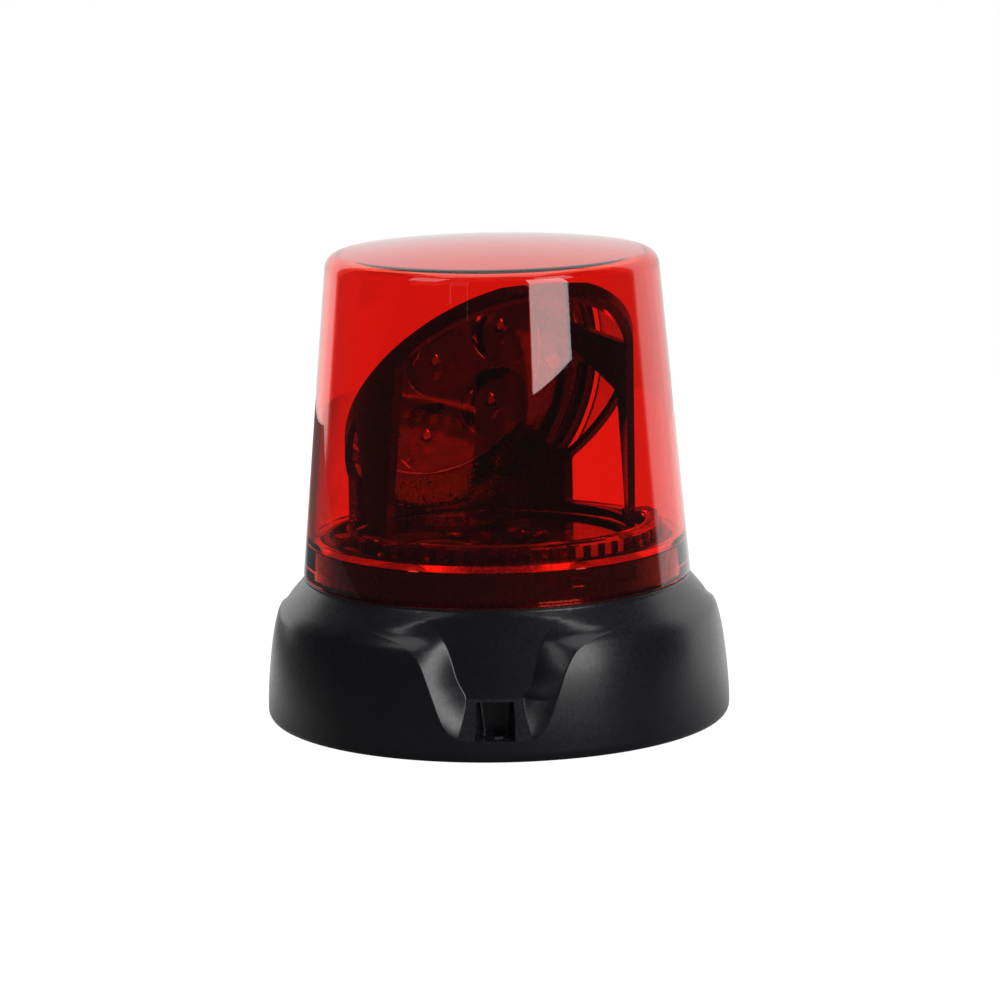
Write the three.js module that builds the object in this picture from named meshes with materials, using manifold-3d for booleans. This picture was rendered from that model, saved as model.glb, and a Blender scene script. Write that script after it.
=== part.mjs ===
// Rotating LED warning beacon: a black three-bolt base, a red twist-on dome, seven fixed LEDs that shine
// upwards, and a tilted mirror on a geared ring that sweeps their light round.
// Millimetres, +Z up, origin at the centre of the underside. One recess faces -Y.
import * as THREE from "three";
import { mergeVertices } from "three/addons/utils/BufferGeometryUtils.js";
import Module from "manifold-3d";

const wasm = await Module();
wasm.setup();

// ---- driving dimensions ----
const GAP = 0.3; // between touching pieces
const ROUND = 48; // sides of a large turned piece
const SMALL_ROUND = 12; // sides of a small turned piece

const BASE_R = 75;
const BASE_WALL = 2.6;
const PLATE_R = 70.6;
const PLATE_Z = 2.1;
const PLATE_T = 2;
const GASKET_T = 1.8;
const BOLT_CIRCLE_R = 65;
const BOLT_HOLE_R = 3.25;
const BUSH_R = 4.8;
const POCKET_FLOOR_Z = 7.3;
const POCKET_HALF = 6.2;
const POCKET_TOP_Z = 19.4;
const RECESS_TURNS = [0, 120, 240];

const COLLAR_IN_R = 56.7;
const COLLAR_OUT_R = 59.3;
const COLLAR_TOP_Z = 56.9;
const SEAT_Z = 46.4;
const SEAT_R = 62.3;

const DOME_FOOT_Z = 46.8;
const DOME_FOOT_R = 62.7;
const DOME_TAPER = 0.091;
const DOME_SHOULDER_Z = 146;
const DOME_CORNER_R = 5;
const DOME_TOP_Z = 154;
const DOME_WALL = 2.3;
const BEAD_Z = 57.2; // a bead round the inside, just above the collar
const BEAD_R = 57;

const BAYONET_AT = 26; // degrees from each recess to a lug of the dome
const BAYONET_TURN = 18; // degrees from locked to free
const BAYONET_LUG = 5; // degrees
const BAYONET_Z = 51.6;
const BAYONET_LUG_H = 2.6;

const CHASSIS_Z = 44.1;
const CHASSIS_T = 2.5;
const CHASSIS_R = 56.2;
const CHASSIS_SCREW_R = 46;
const SINK_R = 36;
const SINK_FLANGE_R = 40;
const SINK_FIN_Z = 24;
const LED_PITCH = 25.6;
const COLLIMATOR_R = 12.2;
const COVER_TOP_Z = 58;
const COVER_R = 51.2;
const COVER_WALL = 1.6;

const GEAR_MODULE = 1.2;
const RING_TEETH = 90;
const PINION_TEETH = 10;
const GEAR_Z = 48.7;
const GEAR_T = 4;
const RING_OUT_R = 56;
const RING_IN_R = 53.9;
const RING_TOP_Z = 59.7;

const BEAM_TURN = 24; // degrees that the beam is turned from -Y at rest
const FRAME_R = 47;
const FRAME_WALL = 2.4;
const FRAME_BACK = 4.4; // the frame's own centre lies this far behind the axis
const FRAME_FOOT_Z = 58.8;
const MIRROR_Z = 108; // of the frame's sloping top, on the axis
const MIRROR_SLOPE = 0.9;
const FRAME_PLATE = 2.2;
const RIM_DEPTH = 3.2;
const LENS_R = 53.5;
const LENS_TOP_Z = 64.3;
const LENS_SPAN = 77; // degrees to each side of the beam
const LENS_RIBS = 26;

const rad = THREE.MathUtils.degToRad;
const pitchRing = (GEAR_MODULE * RING_TEETH) / 2;
const pitchPinion = (GEAR_MODULE * PINION_TEETH) / 2;
const MOTOR_Y = pitchRing - pitchPinion;

// ---- materials ----
const blackPlastic = new THREE.MeshStandardMaterial({ color: 0x1c1c20, roughness: 0.45 });
const glossBlack = new THREE.MeshStandardMaterial({ color: 0x111114, roughness: 0.2 });
const redDome = new THREE.MeshStandardMaterial({
  color: 0xd81410,
  roughness: 0.08,
  transparent: true,
  opacity: 0.5,
});
const clearPlastic = new THREE.MeshStandardMaterial({
  color: 0xe8eef2,
  roughness: 0.05,
  transparent: true,
  opacity: 0.4,
});
const mirrorFinish = new THREE.MeshStandardMaterial({ color: 0xf2f2f2, roughness: 0.02, metalness: 1 });
const steel = new THREE.MeshStandardMaterial({ color: 0xb4b6ba, roughness: 0.3, metalness: 1 });
const aluminium = new THREE.MeshStandardMaterial({ color: 0xa8abb0, roughness: 0.4, metalness: 1 });
const rubber = new THREE.MeshStandardMaterial({ color: 0x0c0c0d, roughness: 0.85 });
const acetal = new THREE.MeshStandardMaterial({ color: 0xe6e2d8, roughness: 0.5 });
const boardGreen = new THREE.MeshStandardMaterial({ color: 0x14502c, roughness: 0.5 });
const boardBlack = new THREE.MeshStandardMaterial({ color: 0x2c2c30, roughness: 0.4 });

// ---- solids ----
function solid(geometry) {
  const bare = geometry.index ? geometry.toNonIndexed() : geometry.clone();
  const points = new THREE.BufferGeometry();
  points.setAttribute("position", bare.getAttribute("position"));
  const merged = mergeVertices(points, 1e-4);
  return new wasm.Manifold(
    new wasm.Mesh({
      numProp: 3,
      vertProperties: merged.attributes.position.array,
      triVerts: new Uint32Array(merged.index.array),
    }),
  );
}

function geometryOf(body) {
  const mesh = body.getMesh();
  const geometry = new THREE.BufferGeometry();
  geometry.setAttribute("position", new THREE.BufferAttribute(mesh.vertProperties, 3));
  geometry.setIndex(new THREE.BufferAttribute(mesh.triVerts, 1));
  const flat = geometry.toNonIndexed();
  flat.computeVertexNormals();
  return flat;
}

const join = (first, ...rest) => rest.reduce((a, b) => a.add(b), first);
const cut = (first, ...rest) => rest.reduce((a, b) => a.subtract(b), first);

function box(x0, x1, y0, y1, z0, z1) {
  const geometry = new THREE.BoxGeometry(x1 - x0, y1 - y0, z1 - z0);
  return solid(geometry.translate((x0 + x1) / 2, (y0 + y1) / 2, (z0 + z1) / 2));
}

// Turns a closed outline of [radius, height] points about +Z.
function turned(outline, sides = ROUND) {
  const points = outline.map(([r, z]) => new THREE.Vector2(r, z));
  if (outline[0][0] > 0) points.push(points[0].clone());
  const lathe = () => solid(new THREE.LatheGeometry(points, sides).rotateX(Math.PI / 2));
  const body = lathe();
  if (body.volume() > 0) return body;
  points.reverse();
  return lathe();
}

const rod = (r, z0, z1, sides = SMALL_ROUND) => turned([[0, z0], [r, z0], [r, z1], [0, z1]], sides);
const tube = (r0, r1, z0, z1, sides = ROUND) => turned([[r0, z0], [r1, z0], [r1, z1], [r0, z1]], sides);
const at = (body, x, y) => body.translate([x, y, 0]);
const turn = (body, degrees) => body.rotate([0, 0, degrees]);

function prism(points, z0, z1) {
  const shape = new THREE.Shape(points.map(([x, y]) => new THREE.Vector2(x, y)));
  const geometry = new THREE.ExtrudeGeometry(shape, { depth: z1 - z0, bevelEnabled: false });
  return solid(geometry.translate(0, 0, z0));
}

// A prism whose outline lies in the plane of y and z, as long as the whole object in x.
function sidePrism(points) {
  return prism(points, -BASE_R, BASE_R).rotate([90, 0, 90]);
}

// A block between two radii and two angles. Angle 0 points along -Y.
function sector(r0, r1, from, to, z0, z1, steps = 6) {
  const points = [];
  const add = (r, degrees) => points.push([r * Math.sin(rad(degrees)), -r * Math.cos(rad(degrees))]);
  for (let i = 0; i <= steps; i++) add(r1, from + ((to - from) * i) / steps);
  for (let i = steps; i >= 0; i--) add(r0, from + ((to - from) * i) / steps);
  return prism(points, z0, z1);
}

// ---- the group ----
const group = new THREE.Group();

function place(name, body, material, parent = group) {
  const mesh = new THREE.Mesh(geometryOf(body), material);
  mesh.name = name;
  parent.add(mesh);
  return mesh;
}

// ---- base ----
// The V recess as rows from its wide top to its foot. In each row the floor runs to floorX at floorZ, and
// the edge on the outside wall lies at edgeX and edgeZ.
const RECESS_ROWS = [
  { floorX: 29, floorZ: 50, edgeX: 40, edgeZ: 43 },
  { floorX: 24.4, floorZ: 45, edgeX: 33.4, edgeZ: 37.6 },
  { floorX: 18.6, floorZ: 40.4, edgeX: 26.6, edgeZ: 34.6 },
  { floorX: 15.1, floorZ: 31.7, edgeX: 22.9, edgeZ: 28.8 },
  { floorX: 11, floorZ: 20.6, edgeX: 17.6, edgeZ: 14.6 },
  { floorX: 8.4, floorZ: 19, edgeX: 11.4, edgeZ: 7.4 },
];
const RECESS_TOP_R = 63.4;
const RECESS_SLOPE = 0.11; // the floor leans out towards its foot

// The space that a recess takes, grown by a margin on every side.
function recessSpace(margin) {
  const floorSteps = 4;
  const loops = RECESS_ROWS.map((row) => {
    const lean = Math.max(0, 44 - row.floorZ) * RECESS_SLOPE;
    const floorR = RECESS_TOP_R + lean - margin;
    const floorX = row.floorX + margin * 0.8;
    const edgeX = row.edgeX + margin;
    const drop = margin * (row.floorZ < 21 ? 1.1 : 0.25);
    const reach = 1.25; // the edge is carried on past the outside wall
    const edgeY = Math.sqrt(BASE_R ** 2 - edgeX ** 2);
    const innerY = Math.sqrt(floorR ** 2 - floorX ** 2);
    const outX = floorX + (edgeX - floorX) * reach;
    const outY = innerY + (edgeY - innerY) * reach + 3;
    const outZ = row.floorZ + (row.edgeZ - row.floorZ) * (reach + 0.12) - drop;
    const loop = [];
    for (let i = 0; i <= floorSteps; i++) {
      const x = -floorX + (2 * floorX * i) / floorSteps;
      loop.push([x, -Math.sqrt(floorR ** 2 - x ** 2), row.floorZ - drop]);
    }
    loop.push([outX, -outY, outZ], [0, -outY - 6, outZ], [-outX, -outY, outZ]);
    return loop;
  });
  return loft(loops);
}

// Joins loops with the same number of points, first on top, and closes both ends.
function loft(loops) {
  const count = loops[0].length;
  const position = [];
  const index = [];
  loops.forEach((loop) => loop.forEach((p) => position.push(...p)));
  for (let k = 0; k + 1 < loops.length; k++)
    for (let i = 0; i < count; i++) {
      const a = k * count + i;
      const b = k * count + ((i + 1) % count);
      index.push(a, a + count, b, b, a + count, b + count);
    }
  const floorCount = count - 3;
  const cap = (start, flip) => {
    const tri = (a, b, c) => index.push(start + a, start + (flip ? c : b), start + (flip ? b : c));
    const middle = floorCount + 1;
    for (let i = 0; i + 1 < floorCount; i++) tri(middle, i, i + 1);
    tri(middle, floorCount - 1, floorCount);
    tri(middle, floorCount + 2, 0);
  };
  cap(0, false);
  cap((loops.length - 1) * count, true);
  const geometry = new THREE.BufferGeometry();
  geometry.setAttribute("position", new THREE.Float32BufferAttribute(position, 3));
  geometry.setIndex(index);
  const body = solid(geometry);
  return body.volume() < 0 ? solid(flipped(geometry)) : body;
}

function flipped(geometry) {
  const index = Array.from(geometry.index.array);
  for (let i = 0; i < index.length; i += 3) [index[i + 1], index[i + 2]] = [index[i + 2], index[i + 1]];
  return geometry.clone().setIndex(index);
}

// The pocket that a fixing bolt's head drops into, grown by a margin.
function pocketSpace(margin, floorZ) {
  const half = POCKET_HALF + margin;
  const points = [[half, -BASE_R - 9], [half, -BOLT_CIRCLE_R]];
  for (let i = 1; i < 8; i++) {
    const angle = (Math.PI * i) / 8;
    points.push([half * Math.cos(angle), -BOLT_CIRCLE_R + half * Math.sin(angle)]);
  }
  points.push([-half, -BOLT_CIRCLE_R], [-half, -BASE_R - 9]);
  return prism(points, floorZ, POCKET_TOP_Z + margin);
}

const WALL_PROFILE = [
  [72.4, 0.3], [74.3, 1], [75, 3.2], [74.5, 14], [73.2, 25],
  [71.8, 33], [70.3, 36.6], [68, 39.6], [63.4, 44.4],
];

function housing() {
  const outer = turned([
    ...WALL_PROFILE,
    [62.6, 45], [SEAT_R, 45.4], [SEAT_R, SEAT_Z],
    [COLLAR_OUT_R, SEAT_Z], [COLLAR_OUT_R, COLLAR_TOP_Z],
    [COLLAR_IN_R, COLLAR_TOP_Z], [COLLAR_IN_R, 43.4], [0, 43.4], [0, 0.3],
  ]);
  const inner = turned([
    [0, -1], [PLATE_R + GAP, -1], [PLATE_R + GAP, PLATE_Z + PLATE_T + GAP],
    [71.8, 14], [70.4, 25], [68.4, 35], [62, 41.4], [0, 41.4],
  ]);
  const skins = RECESS_TURNS.flatMap((t) => [
    turn(recessSpace(BASE_WALL), t),
    turn(pocketSpace(2.4, -2), t),
  ]);
  const cavity = cut(inner, ...skins);
  const floorCut = tube(0.01, PLATE_R + GAP, -1, PLATE_Z + PLATE_T + GAP);
  const body = cut(outer, cavity, floorCut, rod(COLLAR_IN_R, 30, 60, ROUND).intersect(
    box(-90, 90, -90, 90, 41, 70)));
  const spaces = RECESS_TURNS.flatMap((t) => [
    turn(recessSpace(0), t),
    turn(pocketSpace(0, POCKET_FLOOR_Z), t),
    turn(at(rod(BUSH_R + GAP, -1, 12), 0, -BOLT_CIRCLE_R), t),
  ]);
  const shelves = RECESS_TURNS.flatMap((t) => [
    sector(43, 60, t - 7, t + 7, 39.8, CHASSIS_Z - GAP),
    sector(COLLAR_IN_R + 0.2, 60.5, t - 7, t + 7, 39.8, 45),
  ]);
  const posts = RECESS_TURNS.flatMap((t) => [
    turn(at(rod(4, 4.4, 40), 0, 64), t),
    turn(box(-1.5, 1.5, 64, 71.5, 4.6, 34), t),
    turn(box(-1.5, 1.5, 61, 66, 30, 42.5), t),
  ]);
  const holes = RECESS_TURNS.flatMap((t) => [
    turn(at(rod(1.6, 0, 16), 0, 64), t),
    turn(at(rod(1.6, 34, 50), 0, -CHASSIS_SCREW_R), t),
  ]);
  const sealGroove = tube(60.2, 61.6, 45, 48);
  const insideWall = turned([...WALL_PROFILE, [62.4, 45], [0, 45], [0, 0.3]]);
  const inside = join(shelves[0], ...shelves.slice(1), ...posts).intersect(insideWall);
  return cut(join(body, inside), ...spaces, ...holes, sealGroove, ...bayonetSlots());
}

// L-shaped slots in the collar, one for each lug on the dome.
function bayonetSlots() {
  const side = 1.2;
  const low = BAYONET_Z - 0.5;
  const high = BAYONET_Z + BAYONET_LUG_H + 0.5;
  const end = BAYONET_TURN + BAYONET_LUG / 2 + side;
  return RECESS_TURNS.flatMap((t) => {
    const start = t + BAYONET_AT;
    return [
      sector(57.8, 61, start - BAYONET_LUG / 2 - side, start + end, low, high, 8),
      sector(57.8, 61, start + BAYONET_TURN - BAYONET_LUG / 2 - side, start + end, low, 60, 4),
    ];
  });
}

place("base_housing", housing(), blackPlastic);

// ---- underside ----
function bottomPlate() {
  const plate = turned([
    [5.6, PLATE_Z], [PLATE_R, PLATE_Z], [PLATE_R, PLATE_Z + PLATE_T], [5.6, PLATE_Z + PLATE_T],
  ]);
  const holes = RECESS_TURNS.flatMap((t) => [
    turn(at(rod(BUSH_R + GAP, 0, 6), 0, -BOLT_CIRCLE_R), t),
    turn(at(rod(1.9, 0, 6), 0, 64), t),
  ]);
  const vent = at(rod(4.3, 0, 6), 28, 0);
  const boss = tube(9, 11, PLATE_Z + PLATE_T - 0.5, PLATE_Z + PLATE_T + 5, 36);
  return cut(join(plate, boss), ...holes, vent);
}

place("bottom_plate", bottomPlate(), blackPlastic);

const gasketHoles = RECESS_TURNS.flatMap((t) => [
  turn(at(rod(3.6, -1, 3), 0, -BOLT_CIRCLE_R), t),
  turn(at(rod(4.2, -1, 3), 0, 64), t),
]);
place("base_gasket", cut(tube(57, PLATE_R - 0.4, 0, GASKET_T), ...gasketHoles), rubber);

RECESS_TURNS.forEach((t, i) => {
  const bush = tube(BOLT_HOLE_R, BUSH_R, PLATE_Z, POCKET_FLOOR_Z + 0.3, SMALL_ROUND);
  place(`mount_bush_${i + 1}`, turn(at(bush, 0, -BOLT_CIRCLE_R), t), steel);
});

// A pan-head screw with its head below z and its shank above.
function screwUp(z, headR, headH, shankR, length) {
  const screw = turned([[0, z - headH], [headR * 0.8, z - headH], [headR, z - headH * 0.5], [headR, z],
    [shankR, z], [shankR, z + length], [0, z + length]], SMALL_ROUND);
  return cut(screw, box(-headR * 0.6, headR * 0.6, -0.35, 0.35, z - headH - 1, z - headH * 0.5));
}

const screwDown = (z, headR, headH, shankR, length) =>
  screwUp(0, headR, headH, shankR, length).rotate([180, 0, 0]).translate([0, 0, z]);

RECESS_TURNS.forEach((t, i) => {
  const plateScrew = screwUp(PLATE_Z - GAP, 3.2, 1.5, 1.4, 12);
  place(`plate_screw_${i + 1}`, turn(at(plateScrew, 0, 64), t), steel);
});

const grommet = turned([
  [3, 0.4], [8, 0.4], [8, PLATE_Z - GAP], [5.2, PLATE_Z - GAP], [5.2, PLATE_Z + PLATE_T + GAP],
  [7.6, PLATE_Z + PLATE_T + GAP], [6, 9.5], [3, 10.5],
], 32);
place("cable_grommet", grommet, rubber);

const vent = turned([
  [0, PLATE_Z - 1.2], [5.4, PLATE_Z - 1.2], [5.4, PLATE_Z - GAP], [4, PLATE_Z - GAP], [4, 6.4],
  [0, 6.4],
], 24);
place("vent_plug", at(vent, 28, 0), blackPlastic);

// ---- electronics under the chassis ----
const driverY = -33;
function driverBoard() {
  const board = box(-24, 24, driverY - 16, driverY + 8, 12, 13.6);
  const pegs = [[-21, -13], [21, -13], [-21, 5], [21, 5]];
  return cut(board, ...pegs.map(([x, y]) => at(rod(1.5, 10, 16), x, driverY + y)));
}
place("driver_board", driverBoard(), boardGreen);
place("driver_capacitor", at(rod(5, 13.9, 22.5, 24), -13, driverY - 4), glossBlack);
place("driver_coil", box(-2, 9, driverY - 11, driverY, 13.9, 20), blackPlastic);
place("supply_connector", cut(
  box(12.5, 22.5, driverY - 9, driverY + 1, 13.9, 22),
  box(14, 21, driverY - 7.5, driverY - 0.5, 16, 24),
), acetal);

// ---- chassis and heat sink ----
function chassis() {
  const plate = tube(SINK_R + 1.3, CHASSIS_R, CHASSIS_Z, CHASSIS_Z + CHASSIS_T);
  const screwHoles = RECESS_TURNS.map((t) => turn(at(rod(1.9, 40, 50), 0, -CHASSIS_SCREW_R), t));
  const shaftHole = at(rod(3, 40, 50), 0, MOTOR_Y);
  return cut(plate, ...screwHoles, shaftHole);
}
place("chassis_plate", chassis(), blackPlastic);

function heatSink() {
  const top = CHASSIS_Z + CHASSIS_T + GAP;
  const flange = rod(SINK_FLANGE_R, top, top + 1.6, ROUND);
  const plug = rod(SINK_R, CHASSIS_Z - 4, top + 0.5, ROUND);
  const fins = [];
  for (let x = -30; x <= 30; x += 7.5) {
    const half = Math.sqrt((SINK_R - 1) ** 2 - (Math.abs(x) + 1) ** 2);
    fins.push(box(x - 0.9, x + 0.9, -half, half, SINK_FIN_Z, CHASSIS_Z - 3.5));
  }
  return join(flange, plug, ...fins);
}
place("heat_sink", heatSink(), aluminium);

const boardZ = CHASSIS_Z + CHASSIS_T + GAP + 1.6 + GAP;
place("led_board", rod(SINK_FLANGE_R - 1, boardZ, boardZ + 1.4, 48), boardBlack);

RECESS_TURNS.forEach((t, i) => {
  const screw = screwDown(CHASSIS_Z + CHASSIS_T + GAP, 2.8, 1.6, 1.4, 9);
  place(`chassis_screw_${i + 1}`, turn(at(screw, 0, -CHASSIS_SCREW_R), t), steel);
});

// ---- LED optics ----
function collimator() {
  const z = boardZ + 1.4 + GAP;
  const top = COVER_TOP_Z - COVER_WALL - GAP;
  return turned([
    [0, z], [4.6, z], [9.6, z + 3], [COLLIMATOR_R, top - 0.8], [COLLIMATOR_R, top], [0, top],
  ], 18);
}
for (let i = 0; i < 7; i++) {
  const angle = (Math.PI / 3) * i;
  const out = i === 0 ? 0 : LED_PITCH;
  place(`collimator_${i + 1}`, at(collimator(), out * Math.cos(angle), out * Math.sin(angle)), clearPlastic);
}

function lensCover() {
  const foot = CHASSIS_Z + CHASSIS_T + GAP;
  const inR = COVER_R - COVER_WALL;
  const cup = turned([
    [0, COVER_TOP_Z - COVER_WALL], [inR, COVER_TOP_Z - COVER_WALL], [inR, foot],
    [COVER_R, foot], [COVER_R, COVER_TOP_Z - 0.8], [COVER_R - 0.8, COVER_TOP_Z], [0, COVER_TOP_Z],
  ]);
  return cut(cup, box(-9, 9, 40, 60, foot - 1, GEAR_Z + GEAR_T + 1));
}
place("lens_cover", lensCover(), clearPlastic);

// ---- drive ----
const motorTop = CHASSIS_Z - 2.6;
place("motor_bracket", cut(
  box(-14, 14, MOTOR_Y - 9, MOTOR_Y + 6.5, motorTop + GAP, CHASSIS_Z - GAP),
  at(rod(3.3, 38, 46), 0, MOTOR_Y),
), steel);
place("motor", cut(
  join(
    at(rod(9, 18, motorTop, 32), 0, MOTOR_Y - 1.5),
    at(rod(2.6, 15.8, 19, 20), 0, MOTOR_Y - 1.5),
  ),
  at(rod(1.4, 30, 46), 0, MOTOR_Y),
), steel);

// The outline of a spur gear. thin narrows each tooth for running clearance.
function gearOutline(teeth, tipR, rootR, thin, sign) {
  const pitchR = (GEAR_MODULE * teeth) / 2;
  const half = (Math.PI / (2 * teeth)) * thin;
  const points = [];
  for (let i = 0; i < teeth; i++) {
    const middle = (2 * Math.PI * i) / teeth;
    const flank = (r) => half + (sign * (pitchR - r) * Math.tan(rad(20))) / pitchR;
    [[rootR, -1], [tipR, -1], [tipR, 1], [rootR, 1]].forEach(([r, side]) => {
      const angle = middle + side * flank(r);
      points.push([r * Math.cos(angle), r * Math.sin(angle)]);
    });
  }
  return points;
}

function pinion() {
  const outline = gearOutline(PINION_TEETH, pitchPinion + 1, pitchPinion - 1.3, 0.82, 1);
  const gear = turn(prism(outline, GEAR_Z - 0.2, GEAR_Z + GEAR_T), 90);
  const hub = rod(2.4, GEAR_Z - 1.2, GEAR_Z + GEAR_T + 0.6);
  const shaft = rod(1.2, 31, GEAR_Z + GEAR_T + 0.8);
  return at(join(gear, hub, shaft), 0, MOTOR_Y);
}
place("drive_pinion", pinion(), blackPlastic);

place("bearing_ring", tube(53.4, 55.8, CHASSIS_Z + CHASSIS_T + GAP, GEAR_Z - GAP), blackPlastic);

// ---- rotor ----
// Built with its beam along -Y, then turned to its rest position.
const rotor = new THREE.Group();
rotor.rotation.z = rad(BEAM_TURN);
group.add(rotor);

function rotorRing() {
  // The teeth are set out from +Y, where the pinion is, so the ring is turned back by the rest angle.
  const inner = gearOutline(RING_TEETH, pitchRing - 0.85, pitchRing + 1.15, 0.82, -1);
  const space = turn(prism(inner, GEAR_Z - 1, GEAR_Z + GEAR_T), 90 - BEAM_TURN + 180 / RING_TEETH);
  const body = turned([
    [52, 55.4], [52, 56.5], [RING_IN_R, 56.5], [RING_IN_R, RING_TOP_Z - 0.4], [RING_IN_R + 0.4, RING_TOP_Z],
    [RING_OUT_R - 0.4, RING_TOP_Z], [RING_OUT_R, RING_TOP_Z - 0.4], [RING_OUT_R, GEAR_Z], [50, GEAR_Z],
    [50, GEAR_Z + GEAR_T], [RING_IN_R, GEAR_Z + GEAR_T], [RING_IN_R, 55.4],
  ]);
  return cut(body, space);
}
place("rotor_ring", rotorRing(), blackPlastic, rotor);

// Everything below the sloping plane that lies this far under the top of the frame.
function below(depth) {
  const z = (y) => MIRROR_Z - MIRROR_SLOPE * y - depth;
  return sidePrism([[-90, 20], [90, 20], [90, Math.max(21, z(90))], [-90, z(-90)]]);
}

function mirrorFrame() {
  const back = (body) => at(body, 0, FRAME_BACK);
  const outer = back(rod(FRAME_R, FRAME_FOOT_Z, 160, ROUND)).intersect(below(0));
  const inner = back(rod(FRAME_R - FRAME_WALL, 20, 160, ROUND)).intersect(below(FRAME_PLATE));
  const top = (y) => MIRROR_Z - MIRROR_SLOPE * y;
  const front = sidePrism([
    [-12, 30], [-14, 70], [-19, top(-19) - RIM_DEPTH], [-70, top(-70) - RIM_DEPTH], [-70, 30],
  ]);
  const sill = FRAME_FOOT_Z + 2.4;
  const window = sidePrism([[-6, sill], [1.6, top(1.6) - 6], [28.6, top(28.6) - 6], [28.6, sill]]);
  const lug = (s) => box(Math.min(s * 45.4, s * 55.4), Math.max(s * 45.4, s * 55.4), -6.5, 1.5,
    RING_TOP_Z + GAP, RING_TOP_Z + GAP + 3.1);
  return join(cut(outer, inner, front, window), lug(1), lug(-1));
}
place("mirror_frame", mirrorFrame(), glossBlack, rotor);

function mirror() {
  const disc = at(rod(FRAME_R - FRAME_WALL - GAP, 20, 160, ROUND), 0, FRAME_BACK);
  const sheet = cut(disc.intersect(below(FRAME_PLATE + GAP)), below(FRAME_PLATE + GAP + 2));
  return sheet.intersect(box(-90, 90, -90, 90, FRAME_FOOT_Z + 1, 170));
}
place("mirror", mirror(), mirrorFinish, rotor);

function frontLens() {
  const wall = sector(LENS_R - 1.6, LENS_R - 0.4, -LENS_SPAN, LENS_SPAN, 56.8, LENS_TOP_Z - 1.4, 36);
  const deck = sector(48.4, LENS_R - 0.4, -LENS_SPAN, LENS_SPAN, LENS_TOP_Z - 1.6, LENS_TOP_Z, 36);
  const ribs = [];
  for (let i = 0; i < LENS_RIBS; i++) {
    const middle = -LENS_SPAN + ((i + 0.5) * 2 * LENS_SPAN) / LENS_RIBS;
    ribs.push(sector(LENS_R - 0.9, LENS_R, middle - 1.4, middle + 1.4, 57.4, LENS_TOP_Z - 0.5, 1));
  }
  return join(wall, deck, ...ribs);
}
place("front_lens", frontLens(), clearPlastic, rotor);

// ---- dome ----
function domeRadius(z) {
  return DOME_FOOT_R - DOME_TAPER * (z - DOME_FOOT_Z);
}

// The dome's outline from its foot to the axis, moved in by a thickness.
function domeOutline(thickness, footZ) {
  const points = [[domeRadius(footZ) - thickness, footZ]];
  const cornerX = domeRadius(DOME_SHOULDER_Z) - DOME_CORNER_R;
  const radius = DOME_CORNER_R - thickness;
  for (let i = 0; i <= 5; i++) {
    const angle = rad(5 + (i * 72) / 5);
    points.push([cornerX + radius * Math.cos(angle), DOME_SHOULDER_Z + radius * Math.sin(angle)]);
  }
  const edge = DOME_SHOULDER_Z + radius;
  const crown = DOME_TOP_Z - thickness - edge;
  [0.75, 0.5, 0.25, 0].forEach((k) => points.push([cornerX * k, edge + crown * (1 - k * k)]));
  return points;
}

function dome() {
  const outer = turned([...domeOutline(0, DOME_FOOT_Z), [0, DOME_FOOT_Z]]);
  const inner = turned([...domeOutline(DOME_WALL, DOME_FOOT_Z - 2), [0, DOME_FOOT_Z - 2]]);
  const lugs = RECESS_TURNS.map((t) => {
    const start = t + BAYONET_AT - BAYONET_LUG / 2;
    return sector(58.1, 61, start, start + BAYONET_LUG, BAYONET_Z, BAYONET_Z + BAYONET_LUG_H, 2);
  });
  const bead = turned([
    [BEAD_R + 2.9, BEAD_Z], [BEAD_R + 2.9, BEAD_Z + 2.8], [BEAD_R, BEAD_Z + 2.3], [BEAD_R, BEAD_Z + 2],
    [BEAD_R + 2.4, BEAD_Z],
  ]);
  return join(cut(outer, inner), bead, ...lugs);
}
place("dome", dome(), redDome);

const seal = turned([[60.4, 45.2], [61.4, 45.2], [60.9, SEAT_Z + 0.1]], 48);
place("dome_seal", seal, rubber);

export default group;
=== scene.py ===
"""Looks for the rotating LED warning beacon: a black three-bolt base and a clear red dome, with a tilted
mirror on a geared ring that turns over seven LEDs. Sizes are in millimetres, turned into metres by MM."""
import math

import bmesh
import bpy
from mathutils import Matrix, Vector


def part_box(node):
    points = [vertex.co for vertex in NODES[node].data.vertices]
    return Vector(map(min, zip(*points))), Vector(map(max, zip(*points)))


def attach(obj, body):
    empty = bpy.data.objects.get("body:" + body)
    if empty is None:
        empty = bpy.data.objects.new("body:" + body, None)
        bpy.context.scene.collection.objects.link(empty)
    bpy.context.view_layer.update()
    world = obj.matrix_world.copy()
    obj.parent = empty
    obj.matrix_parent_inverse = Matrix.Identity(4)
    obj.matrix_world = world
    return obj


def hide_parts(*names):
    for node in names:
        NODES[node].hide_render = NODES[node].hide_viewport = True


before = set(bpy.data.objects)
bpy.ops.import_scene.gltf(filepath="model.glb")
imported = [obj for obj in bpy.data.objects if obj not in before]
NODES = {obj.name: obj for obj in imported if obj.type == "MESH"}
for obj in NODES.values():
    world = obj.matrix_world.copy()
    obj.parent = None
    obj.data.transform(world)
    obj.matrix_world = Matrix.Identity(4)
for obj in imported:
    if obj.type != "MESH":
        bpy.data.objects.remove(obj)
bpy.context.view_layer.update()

MM = 0.001
TURNS = (0, 120, 240)  # the three recesses; the first faces -Y


def node_box(name):
    """Lowest and highest corner of a CAD node, in millimetres."""
    low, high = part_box(name)
    return low / MM, high / MM


HOUSING_LOW, HOUSING_HIGH = node_box("base_housing")
COLLAR_TOP_Z = HOUSING_HIGH.z
DOME_LOW, DOME_HIGH = node_box("dome")
RING_LOW, RING_HIGH = node_box("rotor_ring")
COVER_LOW, COVER_HIGH = node_box("lens_cover")
BOARD_TOP_Z = node_box("led_board")[1].z

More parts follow.
